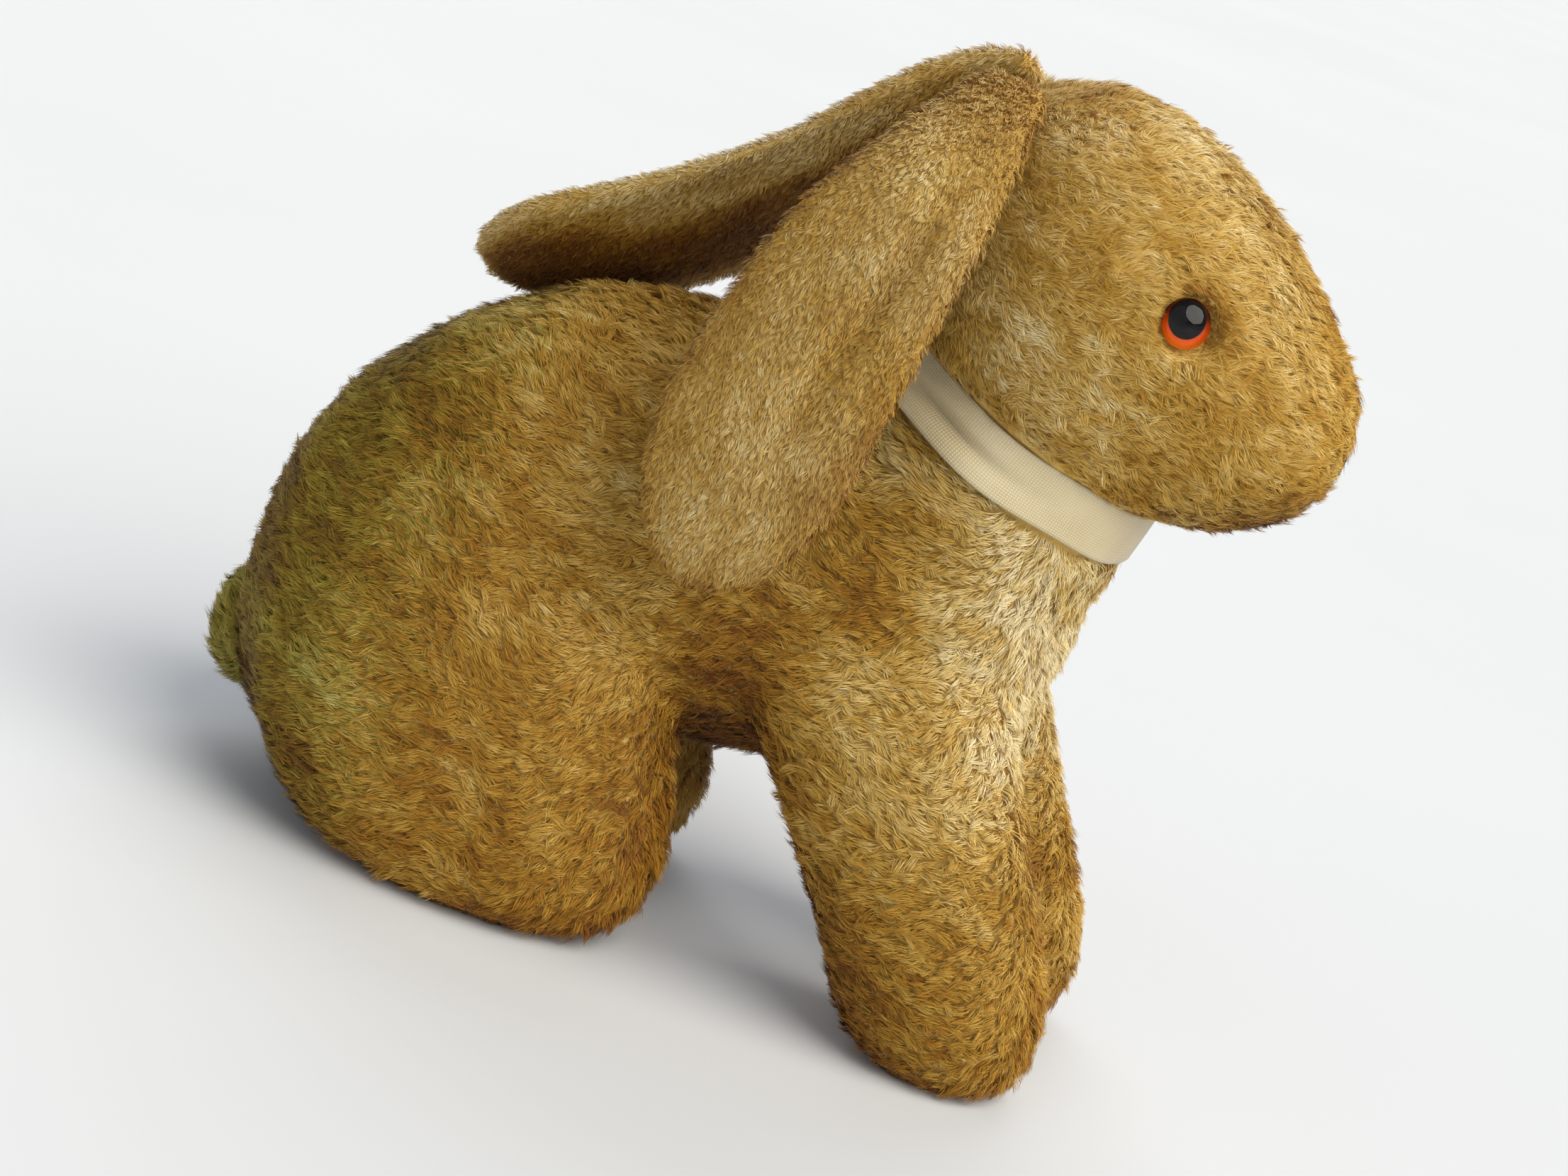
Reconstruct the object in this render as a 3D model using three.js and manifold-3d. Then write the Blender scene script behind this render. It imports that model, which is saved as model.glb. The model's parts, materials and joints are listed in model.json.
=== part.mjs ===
// A stuffed mohair rabbit on four legs: sewn plush panels over stuffing, a disc-jointed neck, two long
// ears, glass eyes and a ribbon. Millimetres; +X is the way the rabbit faces, +Y its left, +Z up.
import * as THREE from 'three';
import { mergeVertices } from 'three/addons/utils/BufferGeometryUtils.js';
import Module from 'manifold-3d';

const wasm = await Module();
wasm.setup();

// ---- driving dimensions ----
const PLUSH = 4.5; // backing cloth and the dense foot of the pile
const GAP = 0.3; // between pieces that touch
const WADDING_GAP = 1; // between a cover and its stuffing
const ROUND = 2.25; // exponent of the stuffed cross-sections, a little squarer than an ellipse
const FAR = 300; // size of the blocks that trim
const ORIGIN_SHIFT = [-1, 4, 0]; // puts the middle of the box, hanging ear included, over the origin

const NECK = new THREE.Vector3(45.5, 0, 128.5); // centre of the neck joint
const NECK_TILT = THREE.MathUtils.degToRad(20); // the neck leans forward by this much
const NECK_RADIUS = 30.8; // at the joint; it flares downwards to the shoulders
const NECK_FLARE = 0.08; // radius gained for each millimetre down
const RIBBON = { width: 12, above: 4.4, thick: 0.8 };

const DISC = { radius: 22, thick: 2.4 };
const WASHER = { radius: 6, thick: 0.8 };
const PIN_RADIUS = 1.5;

const EYE = { radius: 5, height: 3.6, sunk: 1.7, place: [71.5, 165], ray: [0.44, -0.88, 0.16] };
const PUPIL_RADIUS = 3.1;

const EAR_THICK = 3.6; // of each panel at its middle
const EAR_EDGE = 0.7; // of each panel at its seam
const EAR_SEAM = 0.5; // between the two panels

// Trunk, from rump to chest: x, lowest z, highest z, half width.
const TRUNK = [
  [-99, 46, 52, 4], [-97.5, 26, 70, 17], [-92, 13, 86, 29], [-79, 8, 103, 37], [-62, 11, 116.5, 41],
  [-45, 23, 125.5, 41.5], [-28, 33, 128.5, 39], [-10, 40, 129, 35.5], [8, 44, 132, 33.5],
  [26, 46, 136, 33], [42, 50, 134, 32], [55, 57, 124, 28], [64.5, 69, 113, 20], [68.5, 88, 93, 4],
];
// Head, from the nape to the nose, in the same columns.
const HEAD = [
  [9, 163, 169, 4], [12, 148, 180, 16], [19, 128, 189, 25], [29, 112, 195.5, 31.5], [41, 107, 199, 35],
  [54, 109, 197.5, 36], [68, 117, 191.5, 34], [81, 121, 183, 29.5], [92.5, 125.5, 172.5, 23.5],
  [101, 131, 162.5, 17], [105.5, 138, 156, 9.5], [107, 145, 149.5, 3],
];
// Hind leg and foot, from sole to hip: z, rear x, front x, middle y, half width.
const HIND_LEG = [
  [0, -54, -8, 29, 13], [3, -63, 0, 29, 17], [9, -73, 5.5, 29, 19], [18, -81.5, 8, 28.5, 19.5],
  [31, -88, 6.5, 28, 19.5], [45, -90, 2, 27, 19.5], [60, -87.5, -4, 25.5, 19], [74, -80, -14, 23, 17],
  [85, -68, -27, 20, 12], [91, -56, -38, 18, 4],
];
// Foreleg, in the same columns.
const FORE_LEG = [
  [0, 61, 85, 24, 11], [3, 56, 89.5, 24, 14.5], [9, 51, 92, 24, 16.3], [19, 45, 92, 24, 16.8],
  [31, 37, 87.5, 23.7, 16.5], [44, 27, 80.5, 23, 16.2], [58, 16, 73, 22, 16], [72, 8, 66, 20.5, 15],
  [86, 4, 59, 18.5, 12.5], [96, 12, 49, 17, 5],
];
// Each ear, from its seam on the crown to its tip: a point on the middle line, then the ear's width.
const EAR_HANGING = [
  [23, -15.5, 194.5, 13], [21.5, -27, 189.5, 18], [19.5, -37.5, 181.5, 24], [16, -45.8, 169.5, 31],
  [11.5, -50, 156, 35.5], [7, -51.5, 138, 39], [3, -52.5, 119, 40.5], [1, -52, 103, 34.5],
  [1, -51, 92, 22], [1.5, -50.5, 87, 8],
];
const EAR_LYING = [
  [23, 14, 193.5, 17], [11, 17, 188.5, 22], [-1, 18, 176.5, 30], [-14, 18, 160.5, 37], [-28, 17.5, 147, 41],
  [-42, 16.5, 136.5, 42], [-55, 15.5, 129, 39.5], [-67, 15, 123.5, 32], [-74.5, 14.5, 120, 20],
  [-77.5, 14.5, 118.5, 8],
];
const HANGING_ACROSS = [[1, 0, 0], [1, 0, 0]]; // way across the ear, at its seam and at its tip
const LYING_ACROSS = [[0, -0.75, 0.66], [0, -0.72, 0.69]];
const LEFT_HIND_BACK = 6; // the left hind leg is sewn this much further back

const TAIL = { centre: [-97, 0, 28], radii: [9.5, 14, 13] };

// Outlines of the seams, as x and half width: the gusset under the trunk, and the one over the head.
const BELLY_SEAM = [
  [-97, 0.8], [-88, 12], [-70, 25], [-30, 27], [-4, 23], [20, 20], [50, 23], [80, 23], [97, 20],
];
const BELLY_TOP = 60;
const CROWN_SEAM = [[4, 5], [18, 12], [40, 15], [62, 13], [85, 8], [110, 4]];
const CROWN_BOTTOM = 152;

// ---- materials ----
const finish = (color, roughness, metalness = 0) =>
  new THREE.MeshStandardMaterial({ color, roughness, metalness });
const mohair = () => finish(0xc9a05a, 0.95);
const wadding = () => finish(0xe8dcc0, 1);
const hardboard = () => finish(0x8a6238, 0.9);
const steel = () => finish(0xa9abad, 0.4, 1);

// ---- solids ----
function solid(geometry) {
  const bare = geometry.clone();
  for (const name of ['normal', 'uv', 'color']) bare.deleteAttribute(name);
  const merged = mergeVertices(bare, 1e-4);
  return new wasm.Manifold(new wasm.Mesh({
    numProp: 3,
    vertProperties: new Float32Array(merged.attributes.position.array),
    triVerts: new Uint32Array(merged.index.array),
  }));
}

function geometryOf(body) {
  const mesh = body.getMesh();
  const geometry = new THREE.BufferGeometry();
  geometry.setAttribute('position', new THREE.BufferAttribute(new Float32Array(mesh.vertProperties), 3));
  geometry.setIndex(new THREE.BufferAttribute(new Uint32Array(mesh.triVerts), 1));
  return geometry;
}

const join = (bodies) => bodies.reduce((all, body) => all.add(body));
const moved = (rows, side, back = 0) =>
  rows.map(([z, rear, front, y, half]) => [z, rear - back, front - back, y * side, half]);

// Closed skin over a run of rings with as many points each, with a fan at either end.
function loft(rings) {
  const count = rings[0].length;
  const middle = (ring) => ring.reduce((sum, p) => sum.add(p), new THREE.Vector3()).divideScalar(count);
  const points = [...rings.flat(), middle(rings[0]), middle(rings.at(-1))];
  const faces = [];
  for (let j = 0; j < count; j++) {
    const next = (j + 1) % count;
    for (let i = 0; i + 1 < rings.length; i++) {
      const [a, b, c, d] = [i * count + j, i * count + next, (i + 1) * count + next, (i + 1) * count + j];
      faces.push(a, b, c, a, c, d);
    }
    const last = (rings.length - 1) * count;
    faces.push(points.length - 2, next, j, points.length - 1, last + j, last + next);
  }
  const geometry = new THREE.BufferGeometry().setFromPoints(points);
  geometry.setIndex(faces);
  return geometry;
}

// Smooth run of rows through the given ones.
function smooth(rows, count) {
  const places = rows.map((_, i) => i);
  const curve = new THREE.CubicInterpolant(places, rows.flat(), rows[0].length);
  return Array.from({ length: count }, (_, i) => [...curve.evaluate((i * (rows.length - 1)) / (count - 1))]);
}

// Stuffed cross-section of `count` points: the middle, and the half sizes along two directions.
function section(middle, u, v, halfU, halfV, count) {
  return Array.from({ length: count }, (_, j) => {
    const turn = (2 * Math.PI * j) / count;
    const [c, s] = [Math.cos(turn), Math.sin(turn)];
    const bulge = (Math.abs(c) ** ROUND + Math.abs(s) ** ROUND) ** (-1 / ROUND);
    return middle.clone().addScaledVector(u, c * bulge * halfU).addScaledVector(v, s * bulge * halfV);
  });
}

const [X, Y, Z] = [new THREE.Vector3(1, 0, 0), new THREE.Vector3(0, 1, 0), new THREE.Vector3(0, 0, 1)];

// The rows of the form that lies `depth` mm inside: shorter at both ends, drawn in at its low and high
// sides, and narrower in its last column, a half width.
function inside(rows, depth) {
  const [start, end] = [rows[0][0], rows.at(-1)[0]];
  const shrink = (end - start - 2 * depth) / (end - start);
  return rows.map(([along, low, high, ...rest]) => {
    const side = Math.min(depth, 0.42 * (high - low));
    const half = Math.max(rest.at(-1) - depth, 0.12 * rest.at(-1));
    return [start + depth + (along - start) * shrink, low + side, high - side, ...rest.slice(0, -1), half];
  });
}

const lengthwise = (rows, rings, count) => loft(smooth(rows, rings).map(([x, low, high, half]) =>
  section(new THREE.Vector3(x, 0, (low + high) / 2), Y, Z, half, (high - low) / 2, count)));

const upright = (rows, rings, count) => loft(smooth(rows, rings).map(([z, rear, front, y, half]) =>
  section(new THREE.Vector3((rear + front) / 2, y, z), X, Y, (front - rear) / 2, half, count)));

// The same skin moved out by `distance`, or in where that is negative.
function offset(geometry, distance) {
  const moved = geometry.clone();
  moved.computeVertexNormals();
  const { position, normal } = moved.attributes;
  for (let i = 0; i < position.count; i++) {
    position.setXYZ(i, position.getX(i) + normal.getX(i) * distance,
      position.getY(i) + normal.getY(i) * distance, position.getZ(i) + normal.getZ(i) * distance);
  }
  return moved;
}

const block = (sx, sy, sz, x, y, z) => solid(new THREE.BoxGeometry(sx, sy, sz).translate(x, y, z));

// Solid of revolution about the neck's axis; points are radius and height above the joint.
function aroundNeck(points, segments = 24) {
  const turned = new THREE.LatheGeometry(points.map(([r, h]) => new THREE.Vector2(r, h)), segments);
  return solid(turned.rotateX(Math.PI / 2).rotateY(NECK_TILT).translate(...NECK));
}
const neckDisc = (radius, low, high, segments = 24) =>
  aroundNeck([[0, low], [radius, low], [radius, high], [0, high]], segments);
const neckRing = (inner, outer, low, high, segments = 24) =>
  aroundNeck([[inner, low], [outer, low], [outer, high], [inner, high], [inner, low]], segments);
const neckRadiusAt = (height) => NECK_RADIUS - NECK_FLARE * height;

// Prism over a seam outline, given as x and half width, between two heights.
function seamPrism(outline, low, high, grow = 0) {
  const shape = new THREE.Shape([
    ...outline.map(([x, half]) => new THREE.Vector2(x, -half - grow)),
    ...outline.toReversed().map(([x, half]) => new THREE.Vector2(x, half + grow)),
  ]);
  const depth = high - low + 2 * grow;
  return solid(new THREE.ExtrudeGeometry(shape, { depth, bevelEnabled: false }).translate(0, 0, low - grow));
}

// ---- neck groove, where the ribbon lies ----
const RIBBON_LOW = RIBBON.above - RIBBON.width;
const GROOVE = { low: RIBBON_LOW - 0.6, high: RIBBON.above + 0.6, reach: 14 };

// Ring that clears the ribbon's place, `depth` mm inside the covers.
function groove(depth) {
  const { low, high, reach } = GROOVE;
  const [inLow, inHigh] = [neckRadiusAt(low) - depth, neckRadiusAt(high) - depth];
  const rim = neckRadiusAt(low) + reach;
  return aroundNeck([
    [inLow, low - depth], [rim, low - depth - reach / 2],
    [rim, high + depth + reach / 2], [inHigh, high + depth], [inLow, low - depth],
  ]);
}
const neckStub = (low, high, inset) => aroundNeck([
  [0, low], [neckRadiusAt(low) - inset, low], [neckRadiusAt(high) - inset, high], [0, high],
]);
const neckHole = neckDisc(PIN_RADIUS + 1, -40, 40, 10);

// ---- trunk: two side panels, the gusset under it and the stuffing ----
const legs = [
  moved(HIND_LEG, 1, LEFT_HIND_BACK), moved(HIND_LEG, -1), moved(FORE_LEG, 1), moved(FORE_LEG, -1),
];
const trunkSkins = (depth, rings, count) => [
  lengthwise(inside(TRUNK, depth), rings, count),
  ...legs.map((rows) => upright(inside(rows, depth), rings - 3, count - 4)),
];
const trunkSolid = (depth, rings = 9, count = 12) => join([
  ...trunkSkins(depth, rings, count).map(solid),
  neckStub(-22 + depth, -GAP / 2 - depth, depth),
]).intersect(neckDisc(FAR, -FAR, -GAP / 2 - depth)).subtract(groove(depth));

const trunkOuter = trunkSolid(0, 12, 16);
const trunkCover = trunkOuter.subtract(trunkSolid(PLUSH)).subtract(neckHole);
const bellyPrism = (grow) => seamPrism(BELLY_SEAM, -5, BELLY_TOP, grow);
const halfSpace = (side) => block(FAR, FAR, 2 * FAR, 0, side * (FAR + GAP) / 2, 0);
const sidePanels = trunkCover.subtract(bellyPrism(GAP));

// ---- head: two side panels, the gusset over the crown and the stuffing ----
const headSkin = lengthwise(HEAD, 12, 16);
const headSolid = (depth, rings = 9, count = 12) => join([
  solid(lengthwise(inside(HEAD, depth), rings, count)),
  neckStub(GAP / 2 + depth, GROOVE.high + depth + 1, depth)])
  .intersect(neckDisc(FAR, GAP / 2 + depth, FAR)).subtract(groove(depth));

const headOuter = headSolid(0, 12, 16);

// Each eye's frame: its own +Z runs out of the head along the ray.
function eyeMatrix(side) {
  const ray = new THREE.Vector3(EYE.ray[0], -side * EYE.ray[1], EYE.ray[2]).normalize();
  const turn = new THREE.Quaternion().setFromUnitVectors(Z, ray);
  const [x, z] = EYE.place;
  const surface = new THREE.Vector3(x, side * headHalfWidthAt(x, z), z).addScaledVector(ray, -EYE.sunk);
  return new THREE.Matrix4().compose(surface, turn, new THREE.Vector3(1, 1, 1));
}
function headHalfWidthAt(x, z) {
  const rows = smooth(HEAD, 200);
  const [, low, high, half] = rows.find((row) => row[0] >= x);
  const rise = Math.abs(z - (low + high) / 2) / ((high - low) / 2);
  return half * (1 - rise ** ROUND) ** (1 / ROUND);
}
function eyeTurned(points, side, segments = 16) {
  const turned = new THREE.LatheGeometry(points.map(([r, h]) => new THREE.Vector2(r, h)), segments);
  return solid(turned.rotateX(Math.PI / 2).applyMatrix4(eyeMatrix(side)));
}
const eyeRod = (radius, low, high, side) =>
  eyeTurned([[0, low], [radius, low], [radius, high], [0, high]], side, 10);

const eyeSockets = join([1, -1].map((side) =>
  eyeRod(EYE.radius + 0.4, -1.2, 12, side).add(eyeRod(2.9, -8, 1, side))));
const headCover = headOuter.subtract(headSolid(PLUSH)).subtract(neckHole).subtract(eyeSockets);
const crownPrism = (grow) => seamPrism(CROWN_SEAM, CROWN_BOTTOM, 230, grow);
const headPanels = headCover.subtract(crownPrism(GAP));

// ---- stuffing: each fills its cover and is pierced for the neck joint and the eye shanks ----
const jointRoom = neckDisc(DISC.radius + 1, -PLUSH - 10.5, PLUSH + 10.5, 20);
const trunkStuffing = trunkSolid(PLUSH + WADDING_GAP).subtract(jointRoom);
const headStuffing = headSolid(PLUSH + WADDING_GAP).subtract(jointRoom)
  .subtract(join([1, -1].map((side) => eyeRod(3.4, -14, 4, side))));

// ---- ears ----
// One panel of an ear: bulging on the `face` side of the ear's middle surface, flat on it.
function earPanel(rows, across, face) {
  const RINGS = 13;
  const CHORD = 6; // steps across a panel
  const spine = smooth(rows, RINGS);
  const at = (i) => new THREE.Vector3(...spine[THREE.MathUtils.clamp(i, 0, RINGS - 1)].slice(0, 3));
  const rings = spine.map((row, i) => {
    const along = at(i + 1).sub(at(i - 1)).normalize();
    const wide = new THREE.Vector3(...across[0]).lerp(new THREE.Vector3(...across[1]), i / (RINGS - 1));
    wide.addScaledVector(along, -wide.dot(along)).normalize();
    const out = new THREE.Vector3().crossVectors(along, wide).multiplyScalar(face);
    const fullness = EAR_THICK * Math.min(1, row[3] / 26);
    const point = (u, lift) => at(i).addScaledVector(wide, (u * row[3]) / 2)
      .addScaledVector(out, EAR_SEAM / 2 + lift);
    const steps = Array.from({ length: CHORD + 1 }, (_, k) => Math.sin(Math.PI * (k / CHORD - 0.5)));
    const bulging = steps.map((u) => point(u, EAR_EDGE + (fullness - EAR_EDGE) * (1 - u * u) ** 0.7));
    const flat = steps.toReversed().map((u) => point(u, 0));
    const ring = [...bulging, ...flat];
    return face > 0 ? ring.toReversed() : ring;
  });
  return loft(rings);
}

// ---- tail ----
const tailSkin = new THREE.SphereGeometry(1, 16, 10).scale(...TAIL.radii).translate(...TAIL.centre);
const trunkClear = join(trunkSkins(0, 12, 16).map((skin) => solid(offset(skin, GAP))));
const tailSolid = solid(tailSkin).subtract(trunkClear);

// ---- embroidery: threads laid on the muzzle ----
const THREAD_RISE = 1.1;
const muzzleThreads = (pattern) => solid(offset(headSkin, GAP + THREAD_RISE))
  .subtract(solid(offset(headSkin, GAP))).intersect(pattern);
const nosePattern = block(20, 9, 4.5, 103, 0, 143.5);
const mouthArc = (side) =>
  block(14, 1.6, 30, 0, 0, 0).rotate([0, 0, -side * 38]).translate([95.5, side * 4.6, 122]);
const mouthPattern = block(30, 1.6, 15, 100, 0, 132.6).add(mouthArc(1)).add(mouthArc(-1));

// ---- pieces ----
const rabbit = new THREE.Group();
rabbit.position.set(...ORIGIN_SHIFT);
function piece(name, body, material) {
  const geometry = body instanceof THREE.BufferGeometry ? body : geometryOf(body);
  const mesh = new THREE.Mesh(geometry, material);
  mesh.name = name;
  rabbit.add(mesh);
}

for (const [word, side] of [['left', 1], ['right', -1]]) {
  piece(`body_side_${word}`, sidePanels.intersect(halfSpace(side)), mohair());
  piece(`head_side_${word}`, headPanels.intersect(halfSpace(side)), mohair());
  const ear = side > 0 ? [EAR_LYING, LYING_ACROSS] : [EAR_HANGING, HANGING_ACROSS];
  piece(`ear_${word}_outer`, earPanel(...ear, 1), mohair());
  piece(`ear_${word}_inner`, earPanel(...ear, -1), mohair());
  piece(`eye_${word}_glass`, eyeTurned(glassProfile(), side), finish(0xffffff, 0.02));
  piece(`eye_${word}_pupil`, eyeRod(PUPIL_RADIUS, 0.6, 1, side), finish(0x080606, 0.2));
  piece(`eye_${word}_iris`, eyeRod(EYE.radius - 0.3, -0.3, 0.3, side), finish(0xd9540b, 0.5));
  piece(`eye_${word}_shank`, eyeShank(side), steel());
}
function glassProfile() {
  const { radius, height } = EYE;
  const STEPS = 5;
  const dome = Array.from({ length: STEPS + 1 }, (_, i) => {
    const turn = (Math.PI / 2) * (i / STEPS);
    return [radius * Math.cos(turn), 0.6 + GAP + (height - 0.6 - GAP) * Math.sin(turn)];
  });
  dome[STEPS][0] = 0;
  return [[0, 1.2], [PUPIL_RADIUS + 0.3, 1.2], [PUPIL_RADIUS + 0.3, 0.6], [radius, 0.6], ...dome];
}
function eyeShank(side) {
  const loop = solid(new THREE.TorusGeometry(1.7, 0.45, 6, 12).rotateX(Math.PI / 2).translate(0, 0, -4)
    .applyMatrix4(eyeMatrix(side)));
  return loop.add(eyeRod(0.45, -2.5, -0.6, side));
}

piece('underbody_gusset', trunkCover.intersect(bellyPrism(0)), mohair());
piece('body_stuffing', trunkStuffing, wadding());
piece('head_gusset', headCover.intersect(crownPrism(0)), mohair());
piece('head_stuffing', headStuffing, wadding());
piece('tail', tailSolid, mohair());
piece('nose_stitches', muzzleThreads(nosePattern), finish(0x2a211c, 0.8));
piece('mouth_stitches', muzzleThreads(mouthPattern), finish(0x2a211c, 0.8));

piece('neck_ribbon', aroundNeck([
  [neckRadiusAt(RIBBON_LOW) + GAP, RIBBON_LOW], [neckRadiusAt(RIBBON_LOW) + GAP + RIBBON.thick, RIBBON_LOW],
  [neckRadiusAt(RIBBON.above) + GAP + RIBBON.thick, RIBBON.above],
  [neckRadiusAt(RIBBON.above) + GAP, RIBBON.above], [neckRadiusAt(RIBBON_LOW) + GAP, RIBBON_LOW],
]), finish(0xe6dcc0, 0.5));

const discFace = PLUSH + 2 * GAP;
const washerFace = discFace + DISC.thick + GAP;
for (const [word, up] of [['upper', 1], ['lower', -1]]) {
  const span = (from, thick) => (up > 0 ? [from, from + thick] : [-from - thick, -from]);
  const ring = (radius, from, thick) => neckRing(PIN_RADIUS + GAP, radius, ...span(from, thick));
  piece(`neck_disc_${word}`, ring(DISC.radius, discFace, DISC.thick), hardboard());
  piece(`neck_washer_${word}`, ring(WASHER.radius, washerFace, WASHER.thick), steel());
}
const pinEnd = washerFace + WASHER.thick + GAP;
const pinRing = (radius, x, height) => solid(new THREE.TorusGeometry(radius, 0.7, 6, 10).rotateX(Math.PI / 2)
  .translate(x, 0, height).rotateY(NECK_TILT).translate(...NECK));
piece('neck_pin', join([neckDisc(PIN_RADIUS, -pinEnd - 1, pinEnd + 1, 12), pinRing(2.2, 0, pinEnd + 2.8),
  pinRing(1.6, 1.8, -pinEnd - 2.6), pinRing(1.6, -1.8, -pinEnd - 2.6)]), steel());

export default rabbit;
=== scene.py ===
"""A mohair rabbit: stuffed skins under a pile of blades, a woven ribbon, glass eyes and stitches."""
import json
import math
from dataclasses import dataclass

import bmesh
import bpy
import numpy as np
from mathutils import Matrix, Vector
from mathutils.bvhtree import BVHTree
from mathutils.kdtree import KDTree


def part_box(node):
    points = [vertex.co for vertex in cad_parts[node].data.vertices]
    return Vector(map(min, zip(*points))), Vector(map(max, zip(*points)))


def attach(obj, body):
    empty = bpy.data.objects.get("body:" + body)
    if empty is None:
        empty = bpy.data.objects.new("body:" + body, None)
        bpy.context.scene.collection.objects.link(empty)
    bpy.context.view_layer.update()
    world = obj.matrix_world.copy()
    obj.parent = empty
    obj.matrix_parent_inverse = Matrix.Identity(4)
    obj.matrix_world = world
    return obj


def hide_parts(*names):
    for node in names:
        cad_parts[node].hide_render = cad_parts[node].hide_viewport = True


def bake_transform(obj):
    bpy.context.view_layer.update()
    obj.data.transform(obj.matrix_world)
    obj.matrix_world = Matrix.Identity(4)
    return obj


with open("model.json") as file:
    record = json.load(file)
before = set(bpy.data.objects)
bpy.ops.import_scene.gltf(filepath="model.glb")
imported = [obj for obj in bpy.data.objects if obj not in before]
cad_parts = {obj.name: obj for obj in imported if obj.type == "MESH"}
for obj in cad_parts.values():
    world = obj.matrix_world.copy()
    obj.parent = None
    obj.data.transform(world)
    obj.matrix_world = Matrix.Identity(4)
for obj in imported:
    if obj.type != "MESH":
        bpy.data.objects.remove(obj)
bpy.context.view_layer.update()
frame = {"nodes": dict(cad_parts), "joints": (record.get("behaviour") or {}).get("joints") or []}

MM = 0.001
scene = bpy.context.scene
joints = {joint["name"]: joint for joint in frame["joints"]}
NECK = Vector(joints["head_swivel"]["pos_m"])
NECK_AXIS = Vector(joints["head_swivel"]["axis"]).normalized()
MIDDLE_Y = NECK.y

RIBBON_LOW, RIBBON_HIGH = -7.6 * MM, 4.4 * MM  # heights over the neck joint
NECK_RADIUS, NECK_FLARE = 30.8 * MM, 0.08  # at the joint, and gained for each metre down


# ---- small tools ----
def above_neck(points):
    """Height over the neck joint and distance from its axis."""
    offset = points - np.array(NECK)
    height = offset @ np.array(NECK_AXIS)
    return height, np.linalg.norm(offset - np.outer(height, NECK_AXIS), axis=1)


def neck_wall(height):
    """The neck's radius at a height over its joint."""
    return NECK_RADIUS - NECK_FLARE * height


def middle(node):
    low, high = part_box(node)
    return (low + high) / 2


def new_object(name, data):
    thing = bpy.data.objects.new(name, data)
    scene.collection.objects.link(thing)
    return thing


def mesh_of(name, points, faces):
    mesh = bpy.data.meshes.new(name)
    mesh.from_pydata([tuple(p) for p in points], [], faces)
    mesh.update()
    return mesh


def points_of(mesh):
    flat = np.empty(len(mesh.vertices) * 3, np.float32)
    mesh.vertices.foreach_get("co", flat)
    return flat.reshape(-1, 3).astype(float)


def set_points(mesh, points):
    mesh.vertices.foreach_set("co", points.astype(np.float32).ravel())
    mesh.update()


def normals_of(mesh):
    flat = np.empty(len(mesh.vertices) * 3, np.float32)
    mesh.vertex_normals.foreach_get("vector", flat)
    return flat.reshape(-1, 3).astype(float)


def tree_of(mesh):
    return BVHTree.FromPolygons([v.co for v in mesh.vertices], [p.vertices for p in mesh.polygons])


def smooth_shaded(mesh):
    mesh.polygons.foreach_set("use_smooth", np.ones(len(mesh.polygons), bool))


def settle(thing):
    """Applies the modifiers of `thing`."""
    graph = bpy.context.evaluated_depsgraph_get()
    mesh = bpy.data.meshes.new_from_object(thing.evaluated_get(graph))
    thing.modifiers.clear()
    thing.data = mesh
    return thing


def revolved(name, profile, segments=48):
    """Surface of revolution about Z of a profile of radii and heights."""
    points, rings = [], []
    for radius, height in profile:
        if radius < 1e-9:
            rings.append([len(points)])
            points.append((0, 0, height))
        else:
            rings.append(list(range(len(points), len(points) + segments)))
            turns = [2 * math.pi * k / segments for k in range(segments)]
            points += [(radius * math.cos(turn), radius * math.sin(turn), height) for turn in turns]
    faces = []
    for one, two in zip(rings, rings[1:]):
        for k in range(segments):
            quad = [one[k % len(one)], one[(k + 1) % len(one)], two[(k + 1) % len(two)], two[k % len(two)]]
            face = list(dict.fromkeys(quad))
            if len(face) > 2:
                faces.append(face)
    return new_object(name, mesh_of(name, points, faces))


def unit(vectors):
    return vectors / np.maximum(np.linalg.norm(vectors, axis=-1, keepdims=True), 1e-12)


def rising(values, start, width):
    """0 up to the start, 1 from a width further on, and straight between."""
    return np.clip((values - start) / width, 0, 1)


def field(points, size, seed):
    """Smooth noise from 0 to 1, with patches of about that size in metres."""
    cells = 48
    lattice = np.random.default_rng(seed).random((cells, cells, cells))
    place = points / size + 1000.0
    low = np.floor(place).astype(int)
    share = place - low
    share = share * share * (3 - 2 * share)
    total = np.zeros(len(points))
    for corner in np.ndindex(2, 2, 2):
        at = (low + corner) % cells
        weight = np.prod(np.where(corner, share, 1 - share), axis=1)
        total += weight * lattice[at[:, 0], at[:, 1], at[:, 2]]
    return total


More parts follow.
